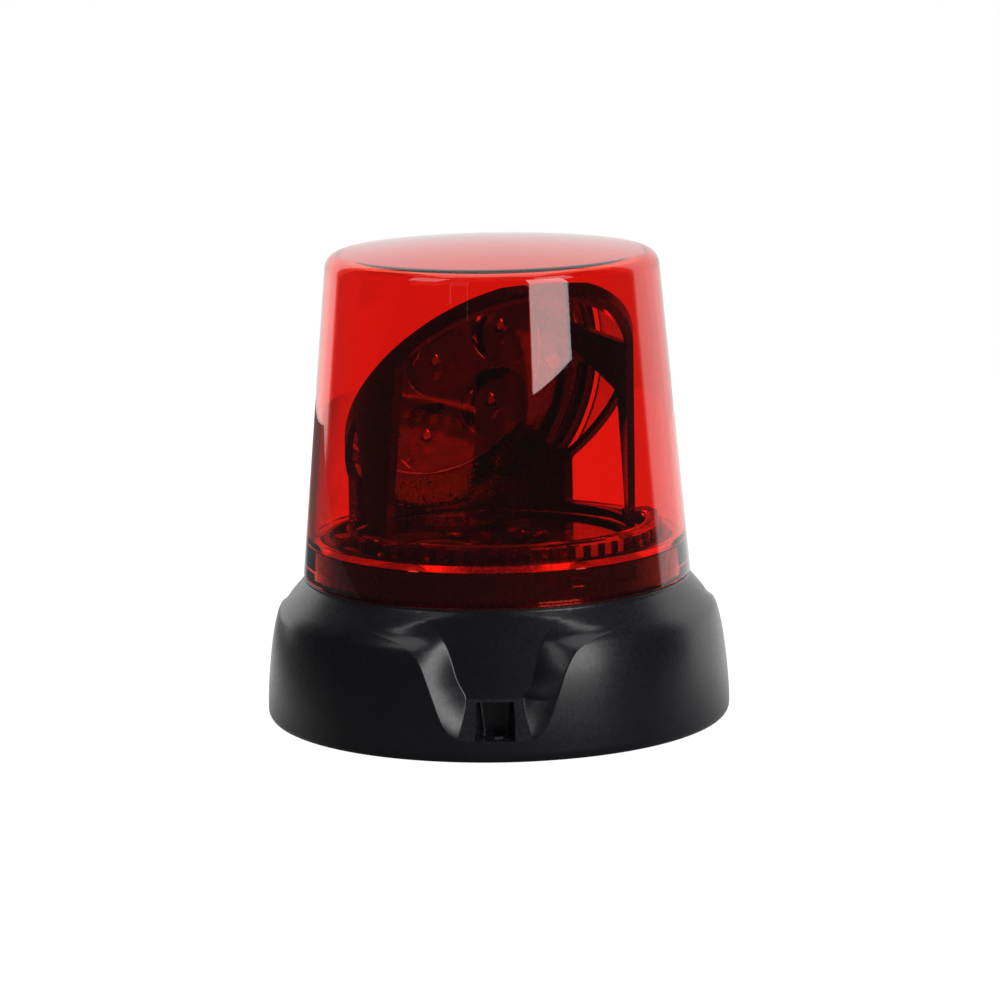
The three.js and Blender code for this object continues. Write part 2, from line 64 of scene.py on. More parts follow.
# ---- camera ----
CAMERA_AZIMUTH = math.radians(1.15)
CAMERA_DISTANCE = 1367.6
CAMERA_HEIGHT = 318.1
CAMERA_PITCH = 0.17967
CAMERA_YAW = 0.001
CAMERA_ROLL = -0.01643
CAMERA_LENS = 154.75


def make_camera():
    right = Vector((math.cos(CAMERA_YAW), -math.sin(CAMERA_YAW), 0))
    level = Vector((math.sin(CAMERA_YAW), math.cos(CAMERA_YAW), 0))
    forward = math.cos(CAMERA_PITCH) * level - math.sin(CAMERA_PITCH) * Vector((0, 0, 1))
    up = math.sin(CAMERA_PITCH) * level + math.cos(CAMERA_PITCH) * Vector((0, 0, 1))
    c, s = math.cos(CAMERA_ROLL), math.sin(CAMERA_ROLL)
    tilted_right = c * right + s * up
    tilted_up = c * up - s * right
    axes = Matrix((tilted_right, tilted_up, -forward)).transposed().to_4x4()
    place = Matrix.Translation(Vector((0, -CAMERA_DISTANCE, CAMERA_HEIGHT)) * MM)
    data = bpy.data.cameras.new("camera")
    data.lens = CAMERA_LENS
    data.sensor_width = 36
    data.clip_start = 0.05
    camera = bpy.data.objects.new("camera", data)
    camera.matrix_world = Matrix.Rotation(CAMERA_AZIMUTH, 4, "Z") @ place @ axes
    bpy.context.scene.collection.objects.link(camera)
    bpy.context.scene.camera = camera


make_camera()


# ---- meshes ----
def new_object(name, vertices, faces):
    """A mesh object from points in millimetres, with its faces turned outwards."""
    mesh = bpy.data.meshes.new(name)
    mesh.from_pydata([Vector(v) * MM for v in vertices], [], faces)
    bm = bmesh.new()
    bm.from_mesh(mesh)
    bmesh.ops.remove_doubles(bm, verts=bm.verts, dist=1e-7)
    bmesh.ops.recalc_face_normals(bm, faces=bm.faces)
    bm.to_mesh(mesh)
    bm.free()
    obj = bpy.data.objects.new(name, mesh)
    bpy.context.scene.collection.objects.link(obj)
    return obj


def spun(name, outline, sides=128, centre=(0, 0)):
    """A closed outline of (radius, height) points turned about the vertical through centre."""
    vertices, faces = [], []
    count = len(outline)
    for i in range(sides):
        angle = 2 * math.pi * i / sides
        for r, z in outline:
            vertices.append((centre[0] + r * math.cos(angle), centre[1] + r * math.sin(angle), z))
    for i in range(sides):
        a, b = i * count, ((i + 1) % sides) * count
        for j in range(count):
            k = (j + 1) % count
            if outline[j][0] == 0 and outline[k][0] == 0:
                continue
            face = [a + j, b + j, b + k, a + k]
            if outline[j][0] == 0:
                face = [a + j, b + k, a + k]
            elif outline[k][0] == 0:
                face = [a + j, b + j, a + k]
            faces.append(face)
    return new_object(name, vertices, faces)


def closed_faces(count):
    """The two ends and the sides of a solid whose points are two rings of count points."""
    sides = [[i, (i + 1) % count, count + (i + 1) % count, count + i] for i in range(count)]
    return [list(range(count)), list(range(count, 2 * count))] + sides


def loft(name, lower, upper, z0, z1):
    """A solid between two flat outlines with the same number of (x, y) points."""
    vertices = [(x, y, z0) for x, y in lower] + [(x, y, z1) for x, y in upper]
    return new_object(name, vertices, closed_faces(len(lower)))


def prism(name, outline, z0, z1):
    """A flat outline of (x, y) points, raised from z0 to z1."""
    return loft(name, outline, outline, z0, z1)


def side_prism(name, outline, half):
    """A flat outline of (y, z) points, from -half to half along x."""
    vertices = [(x, y, z) for x in (-half, half) for y, z in outline]
    return new_object(name, vertices, closed_faces(len(outline)))


def sector(name, r0, r1, start, end, z0, z1, steps=12):
    """A block between two radii and two angles in degrees. Angle 0 points along -Y."""
    angles = [math.radians(start + (end - start) * i / steps) for i in range(steps + 1)]
    outline = [(r1 * math.sin(a), -r1 * math.cos(a)) for a in angles]
    outline += [(r0 * math.sin(a), -r0 * math.cos(a)) for a in reversed(angles)]
    return prism(name, outline, z0, z1)


def rounded_box(name, low, high, radius):
    x0, y0, z0 = low
    x1, y1, z1 = high
    box = prism(name, [(x0, y0), (x1, y0), (x1, y1), (x0, y1)], z0, z1)
    return bevel(box, radius, segments=3, angle=30)


def settle(obj):
    """Applies every modifier."""
    depsgraph = bpy.context.evaluated_depsgraph_get()
    obj.update_tag()
    depsgraph.update()
    mesh = bpy.data.meshes.new_from_object(obj.evaluated_get(depsgraph))
    obj.modifiers.clear()
    old = obj.data
    obj.data = mesh
    bpy.data.meshes.remove(old)
    return obj


def bevel(obj, width, segments=2, angle=35):
    modifier = obj.modifiers.new("bevel", "BEVEL")
    modifier.width = width * MM
    modifier.segments = segments
    modifier.limit_method = "ANGLE"
    modifier.angle_limit = math.radians(angle)
    modifier.use_clamp_overlap = True
    return settle(obj)


def combine(obj, other, operation):
    """Joins (UNION), cuts (DIFFERENCE) or keeps what is shared (INTERSECT), and removes the other object."""
    modifier = obj.modifiers.new("combine", "BOOLEAN")
    modifier.operation = operation
    modifier.solver = "EXACT"
    modifier.object = other
    settle(obj)
    bpy.data.objects.remove(other)
    return obj


def turn(obj, degrees):
    """Turns an object's points about the part's axis."""
    obj.data.transform(Matrix.Rotation(math.radians(degrees), 4, "Z"))
    return obj


def smooth(obj, degrees):
    """Smooth shading, with creases where faces meet at more than this angle, and flat faces kept flat."""
    bm = bmesh.new()
    bm.from_mesh(obj.data)
    limit = math.radians(degrees)
    for face in bm.faces:
        face.smooth = True
    for edge in bm.edges:
        edge.smooth = edge.calc_face_angle(0) < limit
    bm.to_mesh(obj.data)
    bm.free()
    flat_faces = obj.modifiers.new("flat_faces", "WEIGHTED_NORMAL")
    flat_faces.keep_sharp = True
    settle(obj)


def finish_piece(obj, body, slot, material, *nodes, crease=35):
    """Puts a finished piece on its body, in place of the CAD nodes that it stands for."""
    smooth(obj, crease)
    obj.data.materials.clear()
    obj.data.materials.append(material)
    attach(obj, body)
    if nodes:
        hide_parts(*nodes)


# ---- materials ----
class Shader:
    """A material with one Principled shader, and short calls for the nodes that feed it."""

    def __init__(self, name, **values):
        self.material = bpy.data.materials.new(name)
        self.material.use_nodes = True
        self.tree = self.material.node_tree
        self.main = self.tree.nodes["Principled BSDF"]
        self.coordinates = self.add("ShaderNodeTexCoord").outputs["Object"]
        for key, value in values.items():
            self.main.inputs[key.replace("_", " ")].default_value = value

    def add(self, kind, **values):
        node = self.tree.nodes.new(kind)
        for key, value in values.items():
            setattr(node, key, value)
        return node

    def link(self, source, target):
        self.tree.links.new(source, target)

    def noise(self, scale, detail=3, stretch=(1, 1, 1)):
        mapping = self.add("ShaderNodeMapping")
        mapping.inputs["Scale"].default_value = stretch
        self.link(self.coordinates, mapping.inputs["Vector"])
        node = self.add("ShaderNodeTexNoise")
        node.inputs["Scale"].default_value = scale
        node.inputs["Detail"].default_value = detail
        self.link(mapping.outputs["Vector"], node.inputs["Vector"])
        return node.outputs["Fac"]

    def spread(self, value, low, high, from_low=0.3, from_high=0.7):
        """Low to high, as the value goes from from_low to from_high."""
        node = self.add("ShaderNodeMapRange")
        ends = {"From Min": from_low, "From Max": from_high, "To Min": low, "To Max": high}
        for key, number in ends.items():
            node.inputs[key].default_value = number
        self.link(value, node.inputs["Value"])
        return node.outputs["Result"]

    def colours(self, value, *stops):
        """Base colour between two (position, colour) stops."""
        node = self.add("ShaderNodeValToRGB")
        for element, (position, colour) in zip(node.color_ramp.elements, stops):
            element.position = position
            element.color = (*colour, 1)
        self.link(value, node.inputs["Fac"])
        self.link(node.outputs["Color"], self.main.inputs["Base Color"])

    def roughness(self, value, low, high):
        self.link(self.spread(value, low, high), self.main.inputs["Roughness"])

    def bump(self, value, depth_mm, strength):
        node = self.add("ShaderNodeBump")
        node.inputs["Strength"].default_value = strength
        node.inputs["Distance"].default_value = depth_mm * MM
        self.link(value, node.inputs["Height"])
        self.link(node.outputs["Normal"], self.main.inputs["Normal"])

    def pass_light(self, tint):
        """Lets lamps shine through, tinted, so that what lies behind clear plastic is lit."""
        through = self.add("ShaderNodeBsdfTransparent")
        through.inputs["Color"].default_value = (*tint, 1)
        mix = self.add("ShaderNodeMixShader")
        self.link(self.add("ShaderNodeLightPath").outputs["Is Shadow Ray"], mix.inputs[0])
        self.link(self.main.outputs["BSDF"], mix.inputs[1])
        self.link(through.outputs["BSDF"], mix.inputs[2])
        self.link(mix.outputs["Shader"], self.tree.nodes["Material Output"].inputs["Surface"])


def satin_black():
    shader = Shader("satin_black", IOR=1.46)
    shader.colours(shader.noise(90), (0.35, (0.005, 0.005, 0.008)), (0.65, (0.007, 0.007, 0.011)))
    shader.roughness(shader.noise(700), 0.25, 0.31)
    shader.bump(shader.noise(2600, 2), 0.008, 0.5)
    return shader.material


def gloss_black():
    shader = Shader("gloss_black", IOR=1.5)
    shader.colours(shader.noise(60), (0.35, (0.006, 0.005, 0.007)), (0.65, (0.011, 0.009, 0.012)))
    shader.roughness(shader.noise(500), 0.2, 0.3)
    shader.bump(shader.noise(400, 1), 0.004, 0.3)
    return shader.material


def red_clear():
    shader = Shader("red_clear", IOR=1.49)
    shader.main.inputs["Transmission Weight"].default_value = 1
    shader.colours(shader.noise(12, 1), (0.3, (0.865, 0.07, 0.04)), (0.7, (0.885, 0.08, 0.045)))
    shader.roughness(shader.noise(150), 0.0, 0.012)
    shader.bump(shader.noise(9, 1, (1, 1, 0.3)), 0.05, 0.2)
    shader.pass_light((0.85, 0.1, 0.08))
    return shader.material


def clear(name, colour, rough, ripple, ripple_mm):
    """Clear plastic, with a slight ripple of this many waves to the metre and this depth in mm."""
    shader = Shader(name, IOR=1.49)
    shader.main.inputs["Transmission Weight"].default_value = 1
    paler = tuple(min(1, c * 1.03) for c in colour)
    shader.colours(shader.noise(25, 1), (0.3, colour), (0.7, paler))
    shader.roughness(shader.noise(200), rough, rough + 0.01)
    shader.bump(shader.noise(ripple, 1), ripple_mm, 0.5)
    shader.pass_light((0.94, 0.94, 0.94))
    return shader.material


def mirror_coat():
    shader = Shader("mirror_coat", Metallic=1)
    shader.colours(shader.noise(40, 1), (0.3, (0.86, 0.86, 0.87)), (0.7, (0.92, 0.92, 0.93)))
    shader.roughness(shader.noise(300), 0.005, 0.02)
    shader.bump(shader.noise(12, 1), 0.02, 0.2)
    return shader.material


def metal(name, dark, light, low, high):
    """Bare metal between two colours and between two roughnesses."""
    shader = Shader(name, Metallic=1)
    shader.colours(shader.noise(120), (0.3, dark), (0.7, light))
    shader.roughness(shader.noise(500), low, high)
    shader.bump(shader.noise(1200, 2), 0.02, 0.4)
    return shader.material


def matt(name, dark, light, low, high, grain=1500, depth=0.03):
    """Moulded or painted, with a fine grain of this many waves to the metre and this depth in mm."""
    shader = Shader(name)
    shader.colours(shader.noise(150), (0.3, dark), (0.7, light))
    shader.roughness(shader.noise(400), low, high)
    shader.bump(shader.noise(grain, 2), depth, 0.6)
    return shader.material


SATIN_BLACK = satin_black()
GLOSS_BLACK = gloss_black()
RED_CLEAR = red_clear()
CLEAR = clear("clear_plastic", (0.95, 0.96, 0.97), 0.01, ripple=20, ripple_mm=0.002)
OPTIC = clear("optic_plastic", (0.96, 0.96, 0.96), 0.02, ripple=240, ripple_mm=0.5)
MIRROR = mirror_coat()
STEEL = metal("zinc_steel", (0.5, 0.5, 0.5), (0.68, 0.68, 0.66), 0.25, 0.4)
ALUMINIUM = metal("cast_aluminium", (0.6, 0.61, 0.62), (0.75, 0.75, 0.76), 0.35, 0.5)
RUBBER = matt("rubber", (0.012, 0.012, 0.012), (0.022, 0.022, 0.022), 0.7, 0.85)
ACETAL = matt("acetal", (0.72, 0.7, 0.64), (0.82, 0.8, 0.74), 0.4, 0.5, 900, 0.01)
BOARD_GREEN = matt("board_green", (0.008, 0.09, 0.03), (0.015, 0.16, 0.05), 0.3, 0.4, 600, 0.02)
BOARD_BLACK = matt("board_black", (0.07, 0.07, 0.07), (0.11, 0.11, 0.11), 0.25, 0.35, 600, 0.01)
LED_YELLOW = matt("led_phosphor", (0.8, 0.62, 0.12), (0.9, 0.72, 0.2), 0.3, 0.4, 800, 0.01)


# ---- base housing ----
SEAT_R = 62.3
SEAT_Z = 46.4
SEAL_GROOVE = (60.2, 61.6, 45)  # inner and outer radius, and the height of its floor
COLLAR_R = 59.3
COLLAR_BORE_R = 56.7
SHELL_WALL = 3.2
SHELL_FOOT_R = 70.9  # inside radius at the foot
FOOT_Z = HOUSING_LOW.z
FOOT_R = 2.9
POCKET_FLOOR_Z = 7.3
POCKET_MOUTH_R = 84  # pocket outlines run out past the wall to here
BOLT_R = 65
BOLT_HOLE_R = 4.85
LEDGE_TOP_Z = 19.1
EDGE_SOFT = 0.04  # as a share of a recess's sloping side
BAYONET_AT = 26  # degrees from each recess to a lug at rest
BAYONET_FREE = 18  # degrees of turn that free the lugs
LUG_HALF = 2.5  # degrees

# Radius of the plain wall, and half widths of the recess at its floor and at its outer edge, by height.
WALL_R = ((3.2, 75), (8, 74.9), (14, 74.5), (21, 73.8), (28, 72.8), (33, 71.7), (35.4, 70.9), (37.4, 69.6),
          (39.4, 67.8), (42.5, 64.9), (45, 62.7))
FLOOR_X = ((7, 11.6), (19, 10), (24.6, 12.9), (31.7, 15.1), (38, 17.4), (42.4, 20.1), (44.6, 24), (46, 29))
EDGE_X = ((7, 8), (7.6, 11.4), (9.3, 14.3), (13.2, 16.9), (19.2, 19.1), (24.7, 21), (29.6, 22.9),
          (33.7, 25.5), (36, 28.7), (37.3, 33), (38.4, 38), (40, 41), (46, 45))


def between(x, points):
    """A smooth curve through (x, y) points."""
    if x <= points[0][0]:
        return points[0][1]
    if x >= points[-1][0]:
        return points[-1][1]
    i = max(k for k in range(len(points) - 1) if points[k][0] <= x)
    (x0, y0), (x1, y1) = points[i], points[i + 1]
    before = points[max(i - 1, 0)]
    after = points[min(i + 2, len(points) - 1)]
    m0 = (y1 - before[1]) / (x1 - before[0])
    m1 = (after[1] - y0) / (after[0] - x0)
    w, t = x1 - x0, (x - x0) / (x1 - x0)
    start = (2 * t**3 - 3 * t**2 + 1) * y0 + (t**3 - 2 * t**2 + t) * w * m0
    return start + (3 * t**2 - 2 * t**3) * y1 + (t**3 - t**2) * w * m1


def spaced(start, end, count):
    """Count numbers from start, up to but not including end."""
    return [start + (end - start) * i / count for i in range(count)]


def wall_radius(z):
    """Radius of the plain wall, with a rounded foot."""
    if z < WALL_R[0][0]:
        k = (WALL_R[0][0] - z) / FOOT_R
        return WALL_R[0][1] - 2.4 * (1 - math.sqrt(max(0, 1 - k * k)))
    return between(z, WALL_R)


def floor_radius(z):
    """The recess's floor: nearly upright at the top, then a ledge that slopes out to the foot."""
    upright = 62.4 + (45 - z) * 0.146
    ledge = 66.2 + (LEDGE_TOP_Z - z) * 0.72
    blend = 0.5 * (1 + math.tanh((LEDGE_TOP_Z - z) / 0.45))
    return upright * (1 - blend) + ledge * blend


def recess_edges(z):
    """Half widths of the recess at a height: its floor's, and its outer edge's."""
    floor_x = between(z, FLOOR_X)
    return floor_x, max(between(z, EDGE_X), floor_x + 1.5)


def rise(v, s):
    """0 below -s, v above s, and a smooth curve between."""
    return 0 if v <= -s else v if v >= s else (v + s) ** 2 / (4 * s)


def soft_step(u):
    """0 to 1 with a straight middle and softly rounded ends."""
    return rise(u, EDGE_SOFT) - rise(u - 1, EDGE_SOFT)


def outer_radius(x, z):
    """Radius of the outside at a sideways distance from a recess's middle line."""
    plain = wall_radius(z)
    floor_x, edge_x = recess_edges(z)
    floor = floor_radius(z)
    flat = floor / math.cos(math.asin(min(x / plain, 0.45)))
    depth = max(0, plain - 0.5 * (flat + floor))
    return plain - depth * soft_step((edge_x - x) / (edge_x - floor_x))


def recess_columns(z):
    """Sideways distances of the mesh's columns, from a recess's middle to half way to the next one."""
    floor_x, edge_x = recess_edges(z)
    plain = wall_radius(z)
    soft = EDGE_SOFT * (edge_x - floor_x)
    columns = spaced(0, floor_x - soft, 8) + spaced(floor_x - soft, floor_x + soft, 5)
    columns += spaced(floor_x + soft, edge_x - soft, 9) + spaced(edge_x - soft, edge_x + soft, 5)
    angles = [math.asin(x / plain) for x in columns]
    return angles + spaced(math.asin((edge_x + soft) / plain), math.pi / 3, 14), plain


def housing_rows():
    """Rows of (angle, radius, height) points over a sixth of the shell, up its outside and down
    its inside."""
    groove_inner, groove_outer, groove_z = SEAL_GROOVE
    heights = [FOOT_Z + FOOT_R * (1 - math.cos(math.pi / 2 * i / 6)) for i in range(6)]
    heights += spaced(FOOT_Z + FOOT_R, 6.4, 4) + spaced(6.4, 7.8, 7) + spaced(7.8, 18.2, 13)
    heights += spaced(18.2, 20.2, 9) + spaced(20.2, 34, 16) + spaced(34, 41, 16) + spaced(41, 45.1, 7)
    inner_heights = (41.2, 36, 30, 24, 20.5, 17, 12, 8, 4.4)
    rows = []
    for z in heights:
        angles, plain = recess_columns(z)
        rows.append([(a, outer_radius(plain * math.sin(a), z), z) for a in angles])
    even = rows[-1]
    edge_rows = [(SEAT_R + 0.1, 45.3), (SEAT_R, 45.6), (SEAT_R, SEAT_Z - 0.2), (SEAT_R - 0.2, SEAT_Z)]
    edge_rows += [(groove_outer, SEAT_Z), (groove_outer, groove_z)]
    edge_rows += [(groove_inner, groove_z), (groove_inner, SEAT_Z)]
    edge_rows += [(COLLAR_R + 0.2, SEAT_Z), (COLLAR_R, SEAT_Z + 0.3), (COLLAR_R, COLLAR_TOP_Z - 0.5)]
    edge_rows += [(COLLAR_R - 0.5, COLLAR_TOP_Z), (COLLAR_BORE_R + 0.5, COLLAR_TOP_Z)]
    edge_rows += [(COLLAR_BORE_R, COLLAR_TOP_Z - 0.5), (COLLAR_BORE_R, 43.4)]
    rows += [[(angle, r, z) for angle, _, _ in even] for r, z in edge_rows]
    for z in inner_heights:
        angles, plain = recess_columns(z)
        inside = [outer_radius(plain * math.sin(a), z) - SHELL_WALL for a in angles]
        rows.append([(a, min(r, 66 + (41.2 - z) * 0.8), z) for a, r in zip(angles, inside)])
    return rows + [[(angle, SHELL_FOOT_R, z) for angle, _, _ in rows[0]] for z in (4.4, FOOT_Z)]


def housing_shell():
    rows = housing_rows()
    vertices, faces = [], []
    for row in rows:
        half = row + [(math.pi / 3, row[-1][1], row[-1][2])]
        third = half + [(2 * math.pi / 3 - a, r, z) for a, r, z in reversed(row[1:])]
        for degrees in TURNS:
            for angle, r, z in third:
                turned = angle + math.radians(degrees)
                vertices.append((r * math.sin(turned), -r * math.cos(turned), z))
    around = 2 * len(TURNS) * len(rows[0])
    for j in range(len(rows)):
        a, b = j * around, ((j + 1) % len(rows)) * around
        for i in range(around):
            k = (i + 1) % around
            faces.append([a + i, a + k, b + k, b + i])
    return new_object("base_housing_shell", vertices, faces)


def base_housing():
    body = housing_shell()
    for degrees in TURNS:
        low, high = pocket_outline(5.8, 57.4, 8.4), pocket_outline(6.9, 57.2, 8.8)
        boss = loft("pocket_boss", low, high, FOOT_Z + 4.1, 20.6)
        inside = [(-50, FOOT_Z), (-72.6, FOOT_Z), (-72.6, 8.4), (-65.6, 18.2), (-65.2, 22), (-50, 22)]
        combine(boss, side_prism("boss_limit", inside, 20), "INTERSECT")
        combine(body, turn(boss, degrees), "UNION")
    for degrees in TURNS:
        low, high = pocket_outline(4.1, 59.8, 7.8), pocket_outline(5.3, 59, 7.4)
        pocket = loft("pocket_space", low, high, POCKET_FLOOR_Z, LEDGE_TOP_Z - 1)
        bevel(pocket, 0.3, angle=40)
        combine(body, turn(pocket, degrees), "DIFFERENCE")
        hole_top = POCKET_FLOOR_Z + 0.2
        outline = [(0, 2), (BOLT_HOLE_R, 2), (BOLT_HOLE_R, hole_top), (0, hole_top)]
        hole = spun("bolt_space", outline, 48, (0, -BOLT_R))
        combine(body, turn(hole, degrees), "DIFFERENCE")
        slot_half = LUG_HALF + 1.2
        entry = BAYONET_AT + BAYONET_FREE
        for start, z1 in ((BAYONET_AT - slot_half, 54.7), (entry - slot_half, 60)):
            slot = sector("slot_space", 57.8, 61, start, entry + slot_half, 51.1, z1)
            combine(body, turn(slot, degrees), "DIFFERENCE")
    finish_piece(body, "base", "base_plastic", SATIN_BLACK, "base_housing", crease=42)


def pocket_outline(back_half, back_r, front_half):
    """A bolt pocket's plan: a flat back with rounded corners, and sides that open outwards."""
    corner_size = 1.2
    front, corner = (front_half, -POCKET_MOUTH_R), (back_half, -back_r)
    near = corner_size / (POCKET_MOUTH_R - back_r)
    start = (corner[0] + (front[0] - corner[0]) * near, corner[1] + (front[1] - corner[1]) * near)
    end = (corner[0] - corner_size, corner[1])
    right = [front]
    for i in range(7):
        t = i / 6
        weights = ((1 - t)**2, 2 * t * (1 - t), t * t)
        right.append(tuple(sum(w * p[k] for w, p in zip(weights, (start, corner, end))) for k in (0, 1)))
    return right + [(-x, y) for x, y in reversed(right)]


# ---- dome ----
DOME_TAPER = 0.091
DOME_WALL = 2.3
DOME_CORNER = (5, 146)  # radius, and the height of its centre
DOME_INNER_CORNER = (3.6, 145.2)
BEAD_Z = 57.2
BEAD_HIGH = 2
BEAD_DEEP = 2.4


def dome_radius(z):
    return DOME_HIGH.x - DOME_TAPER * (z - DOME_LOW.z)


def dome_top(thickness, corner):
    """(radius, height) points from the corner to the axis, moved in by a thickness."""
    radius, centre_z = corner
    centre = dome_radius(centre_z) - thickness - radius
    points = []
    for i in range(11):
        angle = math.radians(5 + 78 * i / 10)
        points.append((centre + radius * math.cos(angle), centre_z + radius * math.sin(angle)))
    edge_r, edge_z = points[-1]
    crown = DOME_HIGH.z - thickness - edge_z
    return points + [(edge_r * k / 12, edge_z + crown * (1 - (k / 12)**2)) for k in range(11, -1, -1)]


def dome():
    foot = DOME_LOW.z
    heights = [foot + 0.5 + (DOME_CORNER[1] - 1.5 - foot) * i / 24 for i in range(24)]
    outside = [(dome_radius(foot) - 0.4, foot)] + [(dome_radius(z), z) for z in heights]
    outside += dome_top(0, DOME_CORNER)
    inside = list(reversed(dome_top(DOME_WALL, DOME_INNER_CORNER)))
    wall_top, wall_foot = DOME_INNER_CORNER[1] - 0.5, BEAD_Z + BEAD_HIGH + 1
    inside += [(dome_radius(z) - DOME_WALL, z) for z in reversed(heights) if wall_foot < z < wall_top]
    bead_r = dome_radius(BEAD_Z) - DOME_WALL
    inside += [(bead_r - 0.3, BEAD_Z + BEAD_HIGH + 0.7), (bead_r - BEAD_DEEP, BEAD_Z + BEAD_HIGH + 0.3)]
    inside += [(bead_r - BEAD_DEEP, BEAD_Z + BEAD_HIGH), (bead_r, BEAD_Z), (bead_r, foot + 0.3)]
    inside += [(bead_r + 0.3, foot)]
    body = spun("dome", outside + inside, 160)
    for degrees in TURNS:
        start, end = BAYONET_AT - LUG_HALF, BAYONET_AT + LUG_HALF
        lug = bevel(sector("dome_lug", 58.1, 61, start, end, 51.6, 54.2, 4), 0.25)
        combine(body, turn(lug, degrees), "UNION")
    finish_piece(body, "dome", "red_dome", RED_CLEAR, "dome", crease=30)


# ---- rotor ----
BEAM_TURN = 24  # degrees from the front
FRAME_R = 47
FRAME_WALL = 2.4
FRAME_BACK = 4.4
FRAME_FOOT_Z = 58.8
MIRROR_Z = 108
MIRROR_SLOPE = 0.9
PLATE = 2.2  # thickness of the frame's top
MIRROR_GAP = 0.3
MIRROR_THICK = 2
RIM_DEPTH = 3.2
LENS_R = 53.5
LENS_TOP_Z = 64.3
LENS_SPAN = 77  # degrees each side of the beam
LENS_RIBS = 26
RING_BORE_R = 53.9
RING_TEETH = 90
GEAR_MODULE = 1.2
GEAR_TOP_Z = 52.7


def top_at(y):
    """Height of the frame's sloping top, before the rotor is turned."""
    return MIRROR_Z - MIRROR_SLOPE * y


def below(name, depth):
    """Everything inside the frame's reach that lies at least a depth below its top."""
    outline = [(-90, 20), (85, 20), (85, max(21, top_at(85) - depth)), (-90, top_at(-90) - depth)]
    return side_prism(name, outline, 90)


def disc(name, radius, z0=20):
    """A tall cylinder about the frame's own axis, from z0 to above the dome."""
    return spun(name, [(0, z0), (radius, z0), (radius, 170), (0, 170)], 160, (0, FRAME_BACK))


def mirror_frame():
    body = combine(disc("mirror_frame", FRAME_R, FRAME_FOOT_Z), below("top_plane", 0), "INTERSECT")
    space = combine(disc("frame_space", FRAME_R - FRAME_WALL), below("under_plane", PLATE), "INTERSECT")
    combine(body, space, "DIFFERENCE")
    front = [(-12, 30), (-14, 70), (-19, top_at(-19) - RIM_DEPTH)]
    front += [(-80, top_at(-80) - RIM_DEPTH), (-80, 30)]
    opening = bevel(side_prism("front_space", front, 80), 4, 5, 30)
    combine(body, opening, "DIFFERENCE")
    window = [(-6, 61.2), (1.6, top_at(1.6) - 6), (28.6, top_at(28.6) - 6), (28.6, 61.2)]
    combine(body, bevel(side_prism("window_space", window, 80), 1.2, 3, 30), "DIFFERENCE")
    for x0, x1 in ((-55.4, -45.6), (45.6, 55.4)):
        lug = rounded_box("frame_lug", (x0, -6.5, RING_HIGH.z + 0.3), (x1, 1.5, RING_HIGH.z + 3.4), 0.5)
        combine(body, lug, "UNION")
    turn(bevel(body, 0.35, angle=50), BEAM_TURN)
    finish_piece(body, "rotor", "inner_plastic", GLOSS_BLACK, "mirror_frame")


def mirror():
    body = disc("mirror", FRAME_R - FRAME_WALL - MIRROR_GAP, FRAME_FOOT_Z + 1)
    combine(body, below("mirror_top", PLATE + MIRROR_GAP), "INTERSECT")
    combine(body, below("mirror_under", PLATE + MIRROR_GAP + MIRROR_THICK), "DIFFERENCE")
    turn(body, BEAM_TURN)
    finish_piece(body, "rotor", "mirror", MIRROR, "mirror")


def tooth_outline():
    """Plan of the space inside the ring's teeth."""
    pitch_r = GEAR_MODULE * RING_TEETH / 2
    tip_r, root_r = pitch_r - 0.85, pitch_r + 1.15
    half = math.pi / (2 * RING_TEETH) * 0.82  # less than half a pitch, for backlash
    outline = []
    for i in range(RING_TEETH):
        middle = 2 * math.pi * i / RING_TEETH
        for r, side in ((root_r, -1), (tip_r, -1), (tip_r, 1), (root_r, 1)):
            angle = middle + side * (half - (pitch_r - r) * math.tan(math.radians(20)) / pitch_r)
            outline.append((r * math.cos(angle), r * math.sin(angle)))
    return outline


def rotor_ring():
    inner, outer, low, top = RING_BORE_R, RING_HIGH.x, RING_LOW.z, RING_HIGH.z
    outline = [(52.2, 55.4), (52, 55.6), (52, 56.3), (52.2, 56.5), (inner, 56.5), (inner, top - 0.4)]
    outline += [(inner + 0.12, top - 0.12), (inner + 0.4, top), (outer - 0.4, top)]
    outline += [(outer - 0.12, top - 0.12), (outer, top - 0.4), (outer, low), (50, low)]
    outline += [(50, GEAR_TOP_Z), (inner, GEAR_TOP_Z), (inner, 55.4)]
    body = spun("rotor_ring", outline, 160)
    teeth = prism("ring_teeth", tooth_outline(), 40, GEAR_TOP_Z)
    combine(body, turn(teeth, 90 + 180 / RING_TEETH), "DIFFERENCE")
    finish_piece(body, "rotor", "inner_plastic", GLOSS_BLACK, "rotor_ring")


